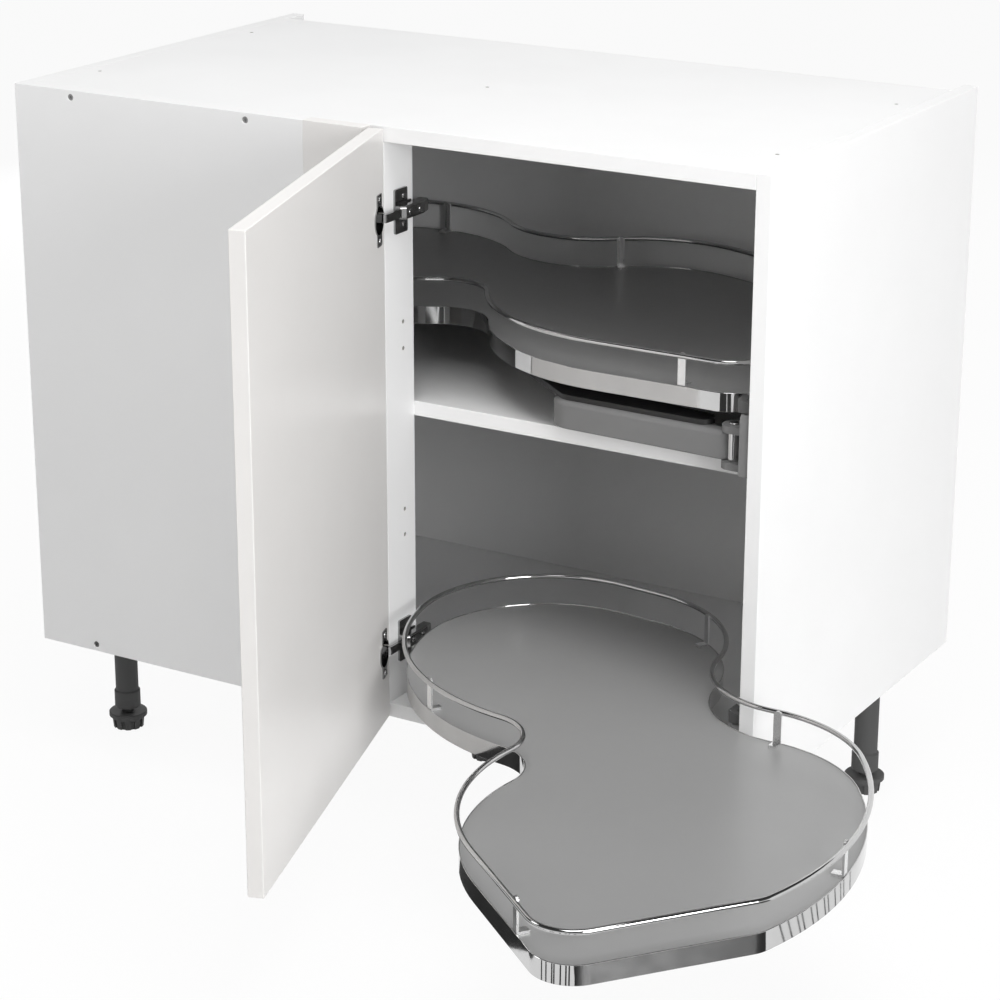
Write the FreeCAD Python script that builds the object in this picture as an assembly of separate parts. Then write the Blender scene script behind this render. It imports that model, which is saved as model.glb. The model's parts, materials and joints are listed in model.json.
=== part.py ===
"""Blind corner base cabinet with a hinged door and two swing-out kidney trays.

Millimetres, +Z up, +X to the right and +Y towards the wall. The origin is on the floor under the middle leg.
"""

import FreeCAD, Part
import math
import os

V = FreeCAD.Vector
TOLERANCE = 1e-4

# Carcass boards
WIDTH = 1000.0
BODY_HEIGHT = 720.0
DEPTH = 570.0
BOARD = 18.0
BACK_BOARD = 15.0
SERVICE_VOID = 40.0
BLIND_WIDTH = 420.0
FILLER_WIDTH = 80.0
UPRIGHT_DEPTH = 60.0
SHELF_HEIGHT = 364.0
EDGE_ROUND = 1.0
SYSTEM_HOLE_R = 2.5
SYSTEM_HOLE_DEPTH = 12.0
SYSTEM_PITCH = 32.0
SYSTEM_SETBACK = 37.0
UPRIGHT_HOLE_HEIGHTS = (222.0, 452.0)
PEG_R = 2.5
PEG_REACH = 9.0
PEG_DEPTH = 8.0
PEG_INSET = 60.0
BLIND_SCREW_X = (85.0, 340.0)
BLIND_SCREW_LENGTH = 48.0
SCREW_SHANK_R = 2.0
SCREW_HEAD_R = 4.0
SCREW_HEAD_H = 2.5
SCREW_SINK = 1.0
SOCKET_HOLE_R = 2.5

# Legs
LEG_HEIGHT = 155.0
LEG_INSET = 40.0
LEG_SETBACK = 96.0
LEG_PITCH = 320.0
SOCKET_SIZE = 62.0
SOCKET_PLATE = 5.0
SOCKET_SPIGOT = 30.0
SPIGOT_R = 12.0
TUBE_R = 15.0
TUBE_WALL = 2.8
COLLAR_R = 17.0
COLLAR_HEIGHT = 24.0
FOOT_R = 21.5
FOOT_HEIGHT = 16.0
FOOT_NOTCHES = 10
NOTCH_WIDTH = 5.0
NOTCH_DEPTH = 3.5
FLANGE_R = 25.0
FLANGE_T = 6.0
THREAD_SHOWN = 7.0
THREAD_R = 9.0
THREAD_LENGTH = 50.0
THREAD_PITCH = 4.0
THREAD_TURNS = 6
THREAD_FIT = 0.3

# Door and hinges
DOOR_T = 18.0
DOOR_GAP = 4.0
DOOR_REVEAL = 2.0
DOOR_STANDOFF = 3.0
DOOR_OPEN_ANGLE = 72.5
UPPER_HINGE_INSET = 103.0
LOWER_HINGE_INSET = 91.0
CUP_R = 17.5
CUP_DEPTH = 13.0
CUP_WALL = 1.0
CUP_EDGE = 4.0
CUP_FLANGE_T = 1.2
CUP_FLANGE_LENGTH = 60.0
CUP_FLANGE_WIDTH = 18.0
CUP_SCREW_PITCH = 48.0
CUP_FIT = 0.1
CUP_RELIEF = 5.0
PIN_EDGE = 8.0
PIN_DEPTH = 9.7
PIN_R = 1.2
PIN_FIT = 0.05
KNUCKLE_R = 1.9
NECK_T = 3.0
NECK_WIDTH = 10.0
NECK_REACH = 15.0
LUG_T = 2.5
LUG_GAP = 0.3
ARM_LENGTH = 56.0
ARM_WIDTH = 16.0
ARM_RISE = 12.0
ARM_START = 19.0
ARM_NOSE = 5.0
ARM_TAIL_LENGTH = 12.0
ARM_TAIL_DROP = 3.0
ARM_ROUND = 2.8
PLATE_T = 2.5
PLATE_CORNER = 2.0
PLATE_LENGTH = 33.0
PLATE_WIDTH = 20.0
WING_LENGTH = 52.0
WING_WIDTH = 26.0
WING_AHEAD = 5.0
HINGE_SCREW_R = 3.5
HINGE_SCREW_HEAD = 1.25
ADJUSTER_PITCH = 21.0
ADJUSTER_SETBACK = 43.0

# Swing-out mechanism, heights above the board under it
PIVOT_FROM_SIDE = 31.0
PIVOT_FROM_FRONT = 30.0
BRACKET_SETBACK = 3.0
BRACKET_FOOT = 1.0
BRACKET_TOP = 73.0
BRACKET_PLATE_T = 12.0
BRACKET_DEPTH = 54.0
BRACKET_CORNER = 10.0
EAR_T = 8.0
EAR_R = 13.5
EAR_HOLE_R = 1.5
EAR_HOLE_X = 12.0
EAR_HOLE_PITCH = 9.0
PIVOT_PIN_R = 4.0
PIVOT_HEAD_R = 6.0
PIVOT_HEAD_H = 2.0
SLEEVE_R = 7.2
RUNNING_FIT = 0.05
ARM_GAP = 0.4
SWING_ARM_HEIGHT = 33.0
SWING_ARM_REACH = 210.0
SWING_ARM_END_R = 29.0
SWING_ARM_END_OFFSET = 29.0
ARM_ROOT_X = 14.0
ARM_ROOT_Y = 2.0
SWING_ARM_ROOT_R = 9.0
SWING_ARM_ROUND = 6.0
SWING_ARM_EASE = 2.0
TRAY_PIVOT_X = 324.0
TRAY_PIVOT_Y = 119.0
CARRIER_T = 6.0
CARRIER_R = 24.0
CARRIER_TAIL_X = 45.0
CARRIER_TAIL_Y = 14.0
CARRIER_TAIL_R = 13.0
STUD_R = 10.0
BOSS_WALL = 12.0
BOSS_GAP = 0.4
TRAY_FLANGE_R = 44.0
TRAY_FLANGE_T = 4.0
TRAY_LIFT = 82.0
ARM_SWING_ANGLE = 100.9
TRAY_TURN_ANGLE = -38.4
STOP_T = 16.0
STOP_DEPTH = 20.0
STOP_HEIGHT = 18.0
STOP_FROM_FRONT = 6.0
STOP_DISH = 7.0
STOP_DISH_R = 30.0
BRACKET_SCREW_PITCH = 52.0
BRACKET_SCREW_INSET = 48.0

# Tray outline: arcs that run on into each other, about the tray pivot
TRAY_RIGHT = 341.0
TRAY_FRONT = 119.0
TRAY_BACK_GAP = 7.0
TRAY_SIDE_GAP = 68.0
CORNER_R = 45.0
HIP_DROP = 265.0
HIP_R = 40.0
BACK_R = 371.0
SHOULDER_X = 44.0
SHOULDER_DROP = 172.0
SHOULDER_R = 156.0
BACK_WAIST_R = 116.0
LOBE_BACK_R = 169.0
LOBE_SHIFT_X = 50.0
LOBE_SHIFT_Y = 18.0
LOBE_R = 157.0
LOBE_END_ANGLE = 227.0
LOBE_FRONT_R = 284.0
FRONT_WAIST_R = 61.0
FRONT_BEND_X = 147.0
FRONT_BEND_R = 242.0
DECK_T = 16.0
BAND_T = 1.2
BAND_HEIGHT = 22.0
BAND_LIP = 1.0
RAIL_R = 3.0
RAIL_RISE = 36.0
STANCHION_WIDTH = 9.5
STANCHION_T = 2.5
STANCHION_GAP = 0.1
STANCHION_FOOT = 14.0
STANCHION_CAP = 3.0
STANCHION_HEEL_R = 2.0
LOBE_BACK_STANCHION_ANGLE = 92.0
LOBE_FRONT_STANCHION_ANGLE = -85.0
SHOULDER_STANCHION_ANGLE = 128.0
BACK_STANCHION_ANGLE = 43.0
FRONT_STANCHION_X = 257.0

# Derived planes
STANCHION_INSET = BAND_T + STANCHION_GAP
RAIL_INSET = STANCHION_INSET - RAIL_R
LEFT = -WIDTH / 2
RIGHT = WIDTH / 2
FRONT = -(LEG_SETBACK + LEG_PITCH / 2)
REAR = FRONT + DEPTH
FLOOR_OF_BODY = LEG_HEIGHT
ROOF = LEG_HEIGHT + BODY_HEIGHT
INNER_LEFT = LEFT + BOARD
INNER_RIGHT = RIGHT - BOARD
BACK_REAR = REAR - SERVICE_VOID
BACK_FACE = BACK_REAR - BACK_BOARD
BASE_TOP = FLOOR_OF_BODY + BOARD
SHELF_TOP = FLOOR_OF_BODY + SHELF_HEIGHT + BOARD
SHELF_FRONT = FRONT + UPRIGHT_DEPTH
UPRIGHT_LEFT = LEFT + BLIND_WIDTH + FILLER_WIDTH
UPRIGHT_FACE = UPRIGHT_LEFT + BOARD
PIVOT_X = INNER_RIGHT - PIVOT_FROM_SIDE
PIVOT_Y = FRONT + PIVOT_FROM_FRONT
TRAY_BACK = BACK_FACE - TRAY_BACK_GAP - PIVOT_Y - TRAY_PIVOT_Y
TRAY_LEFT = PIVOT_X - TRAY_PIVOT_X - INNER_LEFT - TRAY_SIDE_GAP
DOOR_EDGE = UPRIGHT_LEFT + DOOR_GAP
DOOR_WIDTH = RIGHT - DOOR_REVEAL - DOOR_EDGE
DOOR_BACK = FRONT - DOOR_STANDOFF
HINGE_X = DOOR_EDGE + PIN_EDGE
HINGE_Y = DOOR_BACK - PIN_DEPTH
LEG_SPOTS = {
    "front_left": (LEFT + LEG_INSET, -LEG_PITCH / 2),
    "front_right": (RIGHT - LEG_INSET, -LEG_PITCH / 2),
    "rear_left": (LEFT + LEG_INSET, LEG_PITCH / 2),
    "rear_right": (RIGHT - LEG_INSET, LEG_PITCH / 2),
    "middle": (0.0, 0.0),
}


def box(x0, x1, y0, y1, z0, z1):
    return Part.makeBox(x1 - x0, y1 - y0, z1 - z0, V(x0, y0, z0))


def rod(radius, x, y, z0, z1):
    return Part.makeCylinder(radius, z1 - z0, V(x, y, z0))


def bar(radius, start, end):
    return Part.makeCylinder(radius, (end - start).Length, start, end - start)


def prism(wire, z0, z1):
    face = Part.Face(wire)
    face.translate(V(0, 0, z0))
    return face.extrude(V(0, 0, z1 - z0))


def ease(shape, radius, chosen):
    edges = [edge for edge in shape.Edges if chosen(edge)]
    return shape.makeFillet(radius, edges)


def runs_along(axis):
    """Test for straight edges along one axis."""

    def chosen(edge):
        if edge.Curve.TypeId != "Part::GeomLine":
            return False
        return abs(edge.tangentAt(edge.FirstParameter).dot(axis)) > 1 - TOLERANCE

    return chosen


def lies_at_height(z):
    """Test for edges that lie flat at one height."""

    def chosen(edge):
        limits = edge.BoundBox
        return abs(limits.ZMin - z) < TOLERANCE and abs(limits.ZMax - z) < TOLERANCE

    return chosen


def turned(shape, degrees, x, y):
    copy = shape.copy()
    copy.rotate(V(x, y, 0), V(0, 0, 1), degrees)
    return copy


def moved(shape, x, y, z):
    copy = shape.copy()
    copy.translate(V(x, y, z))
    return copy


def lathe(points, x=0.0, y=0.0):
    """Solid of revolution about the vertical through (x, y) from (radius, height) points."""
    corners = [V(radius, 0, height) for radius, height in points]
    face = Part.Face(Part.makePolygon(corners + corners[:1]))
    return moved(face.revolve(V(0, 0, 0), V(0, 0, 1), 360), x, y, 0)


def round_point(centre, radius, degrees):
    angle = math.radians(degrees)
    return V(centre.x + radius * math.cos(angle), centre.y + radius * math.sin(angle), 0)


def bearing(start, end):
    return math.degrees(math.atan2(end.y - start.y, end.x - start.x))


def arc_edge(centre, radius, start, end):
    middle = round_point(centre, radius, (start + end) / 2)
    return Part.Arc(round_point(centre, radius, start), middle, round_point(centre, radius, end)).toShape()


def line_edge(start, end):
    return Part.LineSegment(start, end).toShape()


def hull(first, first_r, second, second_r):
    """Outline of two circles and their outer tangents."""
    along = bearing(first, second)
    lean = math.degrees(math.acos((first_r - second_r) / (second - first).Length))
    edges = [
        arc_edge(first, first_r, along + lean, along + 360 - lean),
        line_edge(round_point(first, first_r, along - lean), round_point(second, second_r, along - lean)),
        arc_edge(second, second_r, along - lean, along + lean),
        line_edge(round_point(second, second_r, along + lean), round_point(first, first_r, along + lean)),
    ]
    return Part.Wire(edges)


def shelf_peg_spots():
    z = SHELF_TOP - BOARD - PEG_R
    return [(y, z) for y in (SHELF_FRONT + PEG_INSET, BACK_FACE - PEG_INSET)]


def peg(face_x, inward, y, z):
    return bar(PEG_R, V(face_x - inward * PEG_DEPTH, y, z), V(face_x + inward * PEG_REACH, y, z))


def shelf_pegs():
    pegs = [peg(INNER_LEFT, 1, y, z) for y, z in shelf_peg_spots()]
    pegs += [peg(INNER_RIGHT, -1, y, z) for y, z in shelf_peg_spots()]
    return Part.makeCompound(pegs)


def left_side_panel():
    panel = box(LEFT, INNER_LEFT, FRONT, REAR, FLOOR_OF_BODY, ROOF)
    return panel.cut(shelf_pegs())


def right_side_panel():
    panel = box(INNER_RIGHT, RIGHT, FRONT, REAR, FLOOR_OF_BODY, ROOF)
    screws = [bracket_screws(z) for z in (BASE_TOP, SHELF_TOP)]
    return panel.cut([shelf_pegs()] + screws)


def leg_holes(z0, z1):
    return [rod(SOCKET_HOLE_R, x, y, z0, z1) for x, y in LEG_SPOTS.values()]


def flat_board(z0):
    """Top or base board between the side panels, with five leg holes and the blind panel's pilot holes."""
    board = box(INNER_LEFT, INNER_RIGHT, FRONT, BACK_REAR, z0, z0 + BOARD)
    return board.cut(leg_holes(z0, z0 + BOARD) + blind_screw_list())


def back_panel():
    return box(INNER_LEFT, INNER_RIGHT, BACK_FACE, BACK_REAR, BASE_TOP, ROOF - BOARD)


def blind_screw(x, z):
    """Countersunk screw along Y, sunk a little below the panel's face."""
    head = FRONT - BOARD + SCREW_SINK
    cone = Part.makeCone(SCREW_HEAD_R, SCREW_SHANK_R, SCREW_HEAD_H, V(x, head, z), V(0, 1, 0))
    return cone.fuse(bar(SCREW_SHANK_R, V(x, head, z), V(x, head + BLIND_SCREW_LENGTH, z))).removeSplitter()


def blind_screw_list():
    heights = (FLOOR_OF_BODY + BOARD / 2, ROOF - BOARD / 2)
    return [blind_screw(LEFT + x, z) for x in BLIND_SCREW_X for z in heights]


def blind_panel():
    panel = box(LEFT, LEFT + BLIND_WIDTH, FRONT - BOARD, FRONT, FLOOR_OF_BODY, ROOF)
    face = FRONT - BOARD
    heights = (FLOOR_OF_BODY + BOARD / 2, ROOF - BOARD / 2)
    mouths = [
        bar(SCREW_HEAD_R, V(LEFT + x, face, z), V(LEFT + x, face + SCREW_SINK, z))
        for x in BLIND_SCREW_X
        for z in heights
    ]
    return panel.cut(mouths + blind_screw_list())


def filler_strip():
    strip = box(LEFT + BLIND_WIDTH, UPRIGHT_LEFT, FRONT - BOARD, FRONT, FLOOR_OF_BODY, ROOF)
    corner = V(UPRIGHT_LEFT, FRONT - BOARD, (FLOOR_OF_BODY + ROOF) / 2)
    front_right = [
        edge
        for edge in strip.Edges
        if runs_along(V(0, 0, 1))(edge) and edge.CenterOfMass.isEqual(corner, BOARD / 2)
    ]
    return strip.makeFillet(EDGE_ROUND, front_right)


def upright():
    post = box(UPRIGHT_LEFT, UPRIGHT_FACE, FRONT, SHELF_FRONT, BASE_TOP, ROOF - BOARD)
    holes = []
    for height in UPRIGHT_HOLE_HEIGHTS:
        for step in (0, 1):
            mouth = V(UPRIGHT_FACE, FRONT + SYSTEM_SETBACK, FLOOR_OF_BODY + height + step * SYSTEM_PITCH)
            holes.append(bar(SYSTEM_HOLE_R, mouth, mouth - V(SYSTEM_HOLE_DEPTH, 0, 0)))
    return post.cut(holes + [hinge_screws()])


def shelf():
    return box(INNER_LEFT, INNER_RIGHT, SHELF_FRONT, BACK_FACE, SHELF_TOP - BOARD, SHELF_TOP)


def leg_socket(x, y):
    """Square plate with a spigot for the tube and a peg in the base's hole."""
    top = LEG_HEIGHT
    half = SOCKET_SIZE / 2
    plate = box(x - half, x + half, y - half, y + half, top - SOCKET_PLATE, top)
    plate = ease(plate, SPIGOT_R, runs_along(V(0, 0, 1)))
    spigot = rod(SPIGOT_R, x, y, top - SOCKET_PLATE - SOCKET_SPIGOT, top)
    locating_peg = rod(SOCKET_HOLE_R, x, y, top, top + BOARD)
    return plate.fuse([spigot, locating_peg]).removeSplitter()


def leg_tube(x, y):
    """Tube with a thicker collar that holds the foot's thread."""
    top = LEG_HEIGHT - SOCKET_PLATE
    low = FOOT_HEIGHT + FLANGE_T + THREAD_SHOWN
    bore = TUBE_R - TUBE_WALL
    nut = THREAD_R + THREAD_FIT
    collar = low + COLLAR_HEIGHT
    profile = [
        (nut, low),
        (COLLAR_R, low),
        (COLLAR_R, collar - (COLLAR_R - TUBE_R)),
        (TUBE_R, collar),
        (TUBE_R, top),
        (bore, top),
        (bore, collar),
        (nut, collar),
    ]
    return lathe(profile, x, y)


def foot(x, y):
    """Notched foot with a flange and a threaded stem."""
    flange_top = FOOT_HEIGHT + FLANGE_T
    profile = [(0, 0), (FOOT_R - NOTCH_DEPTH / 2, 0), (FOOT_R, FOOT_HEIGHT), (FLANGE_R, FOOT_HEIGHT)]
    profile += [(FLANGE_R, flange_top - EDGE_ROUND), (FLANGE_R - EDGE_ROUND, flange_top)]
    root = THREAD_R - THREAD_PITCH / 4
    for turn in range(THREAD_TURNS):
        start = flange_top + turn * THREAD_PITCH
        profile += [(root, start), (root, start + THREAD_PITCH / 4), (THREAD_R, start + THREAD_PITCH / 2)]
        profile += [(THREAD_R, start + THREAD_PITCH * 3 / 4)]
    profile += [(THREAD_R, flange_top + THREAD_LENGTH), (0, flange_top + THREAD_LENGTH)]
    body = lathe(profile)
    half = NOTCH_WIDTH / 2
    notch = box(FOOT_R - NOTCH_DEPTH, FLANGE_R, -half, half, 0, FOOT_HEIGHT - NOTCH_DEPTH)
    notches = [turned(notch, 360 * step / FOOT_NOTCHES, 0, 0) for step in range(FOOT_NOTCHES)]
    return moved(body.cut(notches), x, y, 0)


def opened(shape):
    """Turn a piece of the shut door to the door's rest angle."""
    return turned(shape, -DOOR_OPEN_ANGLE, HINGE_X, HINGE_Y)


def hinge_levels():
    return [FLOOR_OF_BODY + LOWER_HINGE_INSET, ROOF - UPPER_HINGE_INSET]


def cup_centre(z):
    return V(DOOR_EDGE + CUP_EDGE + CUP_R, DOOR_BACK, z)


def cup_screw_spots(z):
    return [cup_centre(z) + V(0, 0, side * CUP_SCREW_PITCH / 2) for side in (-1, 1)]


def cup_screws():
    screws = []
    for level in hinge_levels():
        for spot in cup_screw_spots(level):
            face = spot + V(0, CUP_FLANGE_T, 0)
            head = Part.makeCone(HINGE_SCREW_R, SCREW_SHANK_R, HINGE_SCREW_HEAD, face, V(0, 1, 0))
            shank = bar(SCREW_SHANK_R, face, spot - V(0, DOOR_T / 2, 0))
            screws.append(head.fuse(shank).removeSplitter())
    return Part.makeCompound(screws)


def door_panel():
    slab = box(
        DOOR_EDGE,
        DOOR_EDGE + DOOR_WIDTH,
        DOOR_BACK - DOOR_T,
        DOOR_BACK,
        FLOOR_OF_BODY + DOOR_REVEAL,
        ROOF - DOOR_REVEAL,
    )
    slab = slab.makeFillet(EDGE_ROUND, slab.Edges)
    bores = []
    for level in hinge_levels():
        mouth = cup_centre(level)
        bores.append(bar(CUP_R + CUP_FIT, mouth, mouth - V(0, CUP_DEPTH, 0)))
    return slab.cut(bores + [cup_screws()])


def hinge_cup(z):
    """Cup with its screw flange, two lugs for the pin and a notch in its rim for the crank."""
    mouth = cup_centre(z)
    shell = bar(CUP_R, mouth - V(0, CUP_DEPTH, 0), mouth + V(0, CUP_FLANGE_T, 0))
    flange = box(
        mouth.x - CUP_FLANGE_WIDTH / 2,
        mouth.x + CUP_FLANGE_WIDTH / 2,
        mouth.y,
        mouth.y + CUP_FLANGE_T,
        z - CUP_FLANGE_LENGTH / 2,
        z + CUP_FLANGE_LENGTH / 2,
    )
    flange = ease(flange, PLATE_CORNER, runs_along(V(0, 1, 0)))
    hollow = bar(CUP_R - CUP_WALL, mouth - V(0, CUP_DEPTH - CUP_WALL, 0), mouth + V(0, 2 * CUP_FLANGE_T, 0))
    lug_low = NECK_WIDTH / 2 + LUG_GAP
    notch = box(
        mouth.x - CUP_R - CUP_WALL,
        HINGE_X,
        mouth.y - CUP_RELIEF,
        mouth.y + 2 * CUP_FLANGE_T,
        z - lug_low,
        z + lug_low,
    )
    cup = shell.fuse(flange).cut([hollow, notch, cup_screws()])
    for side in (-1, 1):
        ends = sorted((z + side * lug_low, z + side * (lug_low + LUG_T)))
        front = DOOR_BACK - CUP_DEPTH
        lug = box(HINGE_X - KNUCKLE_R, HINGE_X + KNUCKLE_R, front, HINGE_Y + KNUCKLE_R, *ends)
        lug = lug.common(bar(CUP_R - CUP_WALL / 2, mouth - V(0, CUP_DEPTH - CUP_WALL / 2, 0), mouth))
        cup = cup.fuse(lug)
    return cup.cut(hinge_pin(z)).removeSplitter()


def hinge_pin(z):
    half = NECK_WIDTH / 2 + LUG_GAP + LUG_T
    return rod(PIN_R, HINGE_X, HINGE_Y, z - half, z + half)


def hinge_neck(z):
    """Crank from the pin in the cup round the door's edge to the arm."""
    half = NECK_T / 2
    corner = V(HINGE_X + NECK_REACH - NECK_T, HINGE_Y + NECK_T, 0)
    outer = NECK_T + half
    inner = NECK_T - half
    end = FRONT + ARM_START + NECK_T
    edges = [
        line_edge(V(HINGE_X, HINGE_Y - half, 0), round_point(corner, outer, -90)),
        arc_edge(corner, outer, -90, 0),
        line_edge(round_point(corner, outer, 0), V(corner.x + outer, end, 0)),
        line_edge(V(corner.x + outer, end, 0), V(corner.x + inner, end, 0)),
        line_edge(V(corner.x + inner, end, 0), round_point(corner, inner, 0)),
        arc_edge(corner, inner, 0, -90),
        line_edge(round_point(corner, inner, -90), V(HINGE_X, HINGE_Y + half, 0)),
        line_edge(V(HINGE_X, HINGE_Y + half, 0), V(HINGE_X, HINGE_Y - half, 0)),
    ]
    low = z - NECK_WIDTH / 2
    crank = prism(Part.Wire(edges), low, low + NECK_WIDTH)
    knuckle = rod(KNUCKLE_R, HINGE_X, HINGE_Y, low, low + NECK_WIDTH)
    return crank.fuse(knuckle).cut(rod(PIN_R + PIN_FIT, HINGE_X, HINGE_Y, low, low + NECK_WIDTH))


def hinge_arm(z):
    """Arm on the mounting plate, sloping down to its tail, with the crank at its front."""
    low = UPRIGHT_FACE + PLATE_T
    high = low + ARM_RISE
    front = FRONT + ARM_START
    tail = front + ARM_LENGTH
    corners = [
        V(low, front, 0),
        V(high - ARM_NOSE, front, 0),
        V(high, front + ARM_NOSE, 0),
        V(high, tail - ARM_TAIL_LENGTH, 0),
        V(high - ARM_TAIL_DROP, tail, 0),
        V(low, tail, 0),
    ]
    body = prism(Part.makePolygon(corners + corners[:1]), z - ARM_WIDTH / 2, z + ARM_WIDTH / 2)
    outer = [
        edge
        for edge in body.Edges
        if edge.CenterOfMass.x > low + ARM_ROUND and edge.BoundBox.ZLength < TOLERANCE
    ]
    body = body.makeFillet(ARM_ROUND, outer)
    return body.fuse(hinge_neck(z)).cut(hinge_screws()).removeSplitter()


def hinge_plate(z):
    """Cross-shaped mounting plate on the upright."""
    screw_row = FRONT + SYSTEM_SETBACK
    limbs = []
    for middle, width, height in (
        (screw_row - WING_AHEAD, WING_WIDTH, WING_LENGTH),
        (screw_row, PLATE_LENGTH, PLATE_WIDTH),
    ):
        limb = box(
            UPRIGHT_FACE,
            UPRIGHT_FACE + PLATE_T,
            middle - width / 2,
            middle + width / 2,
            z - height / 2,
            z + height / 2,
        )
        limbs.append(ease(limb, PLATE_CORNER, runs_along(V(1, 0, 0))))
    return limbs[0].fuse(limbs[1]).removeSplitter().cut(hinge_screws())


def hinge_screws():
    """Plate screws into the upright and the two adjusting screws on each arm."""
    screws = []
    x = UPRIGHT_FACE + PLATE_T
    for level in hinge_levels():
        for side in (-1, 1):
            spot = V(x, FRONT + SYSTEM_SETBACK, level + side * SYSTEM_PITCH / 2)
            head = Part.makeCone(HINGE_SCREW_R, SCREW_SHANK_R, HINGE_SCREW_HEAD, spot, V(1, 0, 0))
            shank = bar(SCREW_SHANK_R, spot, spot - V(PLATE_T + SYSTEM_HOLE_DEPTH, 0, 0))
            screws.append(head.fuse(shank).removeSplitter())
        for step in (-1, 1):
            face = V(x + ARM_RISE, FRONT + ADJUSTER_SETBACK + step * ADJUSTER_PITCH / 2, level)
            screws.append(bar(HINGE_SCREW_R, face - V(SCREW_HEAD_H, 0, 0), face + V(SCREW_SINK, 0, 0)))
    return Part.makeCompound(screws)


def ear_heights(z0):
    """Lower faces of the two ears of a bracket."""
    low = z0 + BRACKET_FOOT
    return low, low + EAR_T + 2 * ARM_GAP + SWING_ARM_HEIGHT


def bracket_screws(z0):
    """Two screws through the bracket's plate into the side panel."""
    screws = []
    face = INNER_RIGHT - BRACKET_PLATE_T
    y = FRONT + BRACKET_SETBACK + BRACKET_SCREW_INSET
    middle = z0 + (BRACKET_FOOT + BRACKET_TOP) / 2
    for side in (-1, 1):
        spot = V(face, y, middle + side * BRACKET_SCREW_PITCH / 2)
        head = bar(SCREW_HEAD_R, spot, spot - V(SCREW_HEAD_H, 0, 0))
        shank = bar(SCREW_SHANK_R, spot, spot + V(BRACKET_PLATE_T + SYSTEM_HOLE_DEPTH, 0, 0))
        screws.append(head.fuse(shank).removeSplitter())
    return Part.makeCompound(screws)


def bracket(z0):
    """Plate on the side panel with two ears for the pivot pin."""
    face = INNER_RIGHT - BRACKET_PLATE_T
    y0 = FRONT + BRACKET_SETBACK
    plate = box(face, INNER_RIGHT, y0, y0 + BRACKET_DEPTH, z0 + BRACKET_FOOT, z0 + BRACKET_TOP)
    upper_corners = [
        edge
        for edge in plate.Edges
        if runs_along(V(1, 0, 0))(edge) and edge.BoundBox.ZMin > z0 + BRACKET_TOP - BRACKET_CORNER
    ]
    plate = plate.makeFillet(BRACKET_CORNER, upper_corners)
    pieces = []
    for low in ear_heights(z0):
        tongue = box(PIVOT_X, face, PIVOT_Y - EAR_R, PIVOT_Y + EAR_R, low, low + EAR_T)
        pieces.append(tongue.fuse(rod(EAR_R, PIVOT_X, PIVOT_Y, low, low + EAR_T)))
    whole = plate.fuse(pieces).removeSplitter()
    high = ear_heights(z0)[1]
    x = PIVOT_X + EAR_HOLE_X
    holes = [rod(EAR_HOLE_R, x, PIVOT_Y + side * EAR_HOLE_PITCH / 2, high, high + EAR_T) for side in (-1, 1)]
    return whole.cut([pivot_pin(z0), bracket_screws(z0)] + holes)


def pivot_pin(z0):
    low, high = ear_heights(z0)
    top = high + EAR_T
    shank = rod(PIVOT_PIN_R, PIVOT_X, PIVOT_Y, low, top)
    head = rod(PIVOT_HEAD_R, PIVOT_X, PIVOT_Y, top, top + PIVOT_HEAD_H)
    head = ease(head, PIVOT_HEAD_H / 2, lies_at_height(top + PIVOT_HEAD_H))
    return shank.fuse(head).removeSplitter()


def arm_floor(z0):
    return z0 + BRACKET_FOOT + EAR_T + ARM_GAP


def arm_top(z0):
    return arm_floor(z0) + SWING_ARM_HEIGHT


def arm_sleeve(z0):
    outer = rod(SLEEVE_R, PIVOT_X, PIVOT_Y, arm_floor(z0), arm_top(z0))
    return outer.cut(rod(PIVOT_PIN_R + RUNNING_FIT, PIVOT_X, PIVOT_Y, arm_floor(z0), arm_top(z0)))


def arm_end():
    return V(PIVOT_X - SWING_ARM_REACH, PIVOT_Y + SWING_ARM_END_OFFSET, 0)


def swing_arm(z0):
    """Tapered housing from the sleeve to its round end."""
    root = V(PIVOT_X - ARM_ROOT_X, PIVOT_Y + ARM_ROOT_Y, 0)
    outline = hull(root, SWING_ARM_ROOT_R, arm_end(), SWING_ARM_END_R)
    body = prism(outline, arm_floor(z0), arm_top(z0))
    body = ease(body, SWING_ARM_ROUND, lies_at_height(arm_top(z0)))
    body = ease(body, SWING_ARM_EASE, lies_at_height(arm_floor(z0)))
    return body.cut(rod(SLEEVE_R, PIVOT_X, PIVOT_Y, arm_floor(z0), arm_top(z0)))


def stud_top(z0):
    return z0 + TRAY_LIFT - DECK_T - TRAY_FLANGE_T - BOSS_GAP


def carrier_plate(z0):
    """Cranked plate on the arm that carries the stud the tray turns on."""
    tail = V(PIVOT_X - CARRIER_TAIL_X, PIVOT_Y + CARRIER_TAIL_Y, 0)
    stud = V(PIVOT_X - TRAY_PIVOT_X, PIVOT_Y + TRAY_PIVOT_Y, 0)
    low = arm_top(z0)
    limbs = [
        prism(hull(tail, CARRIER_TAIL_R, arm_end(), CARRIER_R), low, low + CARRIER_T),
        prism(hull(arm_end(), CARRIER_R, stud, CARRIER_R), low, low + CARRIER_T),
    ]
    post = rod(STUD_R, stud.x, stud.y, low, stud_top(z0))
    return limbs[0].fuse([limbs[1], post]).removeSplitter()


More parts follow.
